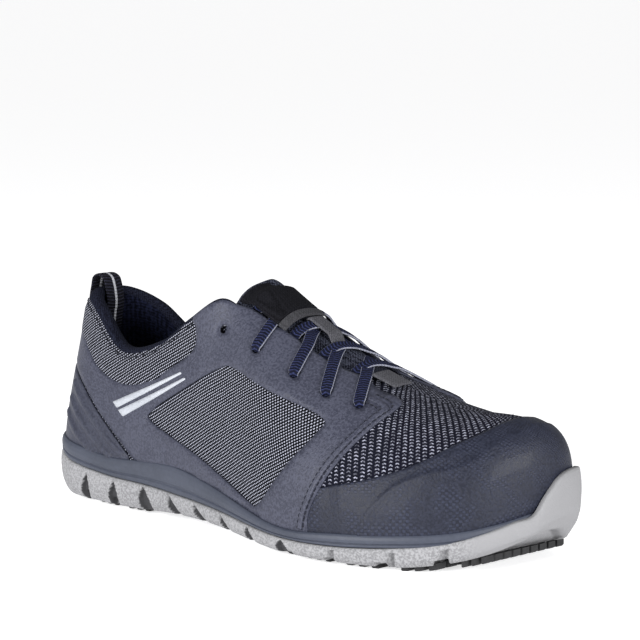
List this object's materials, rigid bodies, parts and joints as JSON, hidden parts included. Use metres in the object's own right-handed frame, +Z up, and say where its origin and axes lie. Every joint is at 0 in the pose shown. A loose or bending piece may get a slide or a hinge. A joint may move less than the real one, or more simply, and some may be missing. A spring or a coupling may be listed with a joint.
{
  "type": "safety sneaker",
  "caption": "Low-cut laced safety sneaker, right foot: notched grey outsole with toe bumper, blue cupped midsole, hollow dark textile upper with fused panels and padded collar.",
  "frame": {"origin": "bottom centre of the shoe's box, on the floor", "axes": "+X from heel to toe, +Y to the big-toe side, +Z up from the floor"},
  "size_m": [0.3, 0.109, 0.1143],
  "materials": {
    "outsole_rubber": "matte",
    "tread_rubber": "matte",
    "midsole_foam": "matte",
    "knit": "matte",
    "film": "satin",
    "lining": "matte",
    "lace": "matte"
  },
  "bodies": {
    "root": {"outsole": "outsole_rubber", "tread_heel_back": "tread_rubber", "tread_heel_middle": "tread_rubber", "tread_heel_front": "tread_rubber", "tread_ball_back": "tread_rubber", "tread_ball_middle": "tread_rubber", "tread_ball_front": "tread_rubber", "tread_toe_back": "tread_rubber", "tread_toe_front": "tread_rubber", "midsole": "midsole_foam", "upper": "knit", "insole": "lining", "tongue": "lining", "tongue_label": "lining", "lace_keeper": "film", "throat_tag": "film", "toe_panel": "film", "heel_counter": "film", "quarter_panel_outer": "film", "quarter_panel_inner": "film", "pull_loop": "lining", "lace_crossing_1": "lace", "lace_crossing_2": "lace", "lace_crossing_3": "lace", "lace_crossing_4": "lace"}
  },
  "joints": []
}
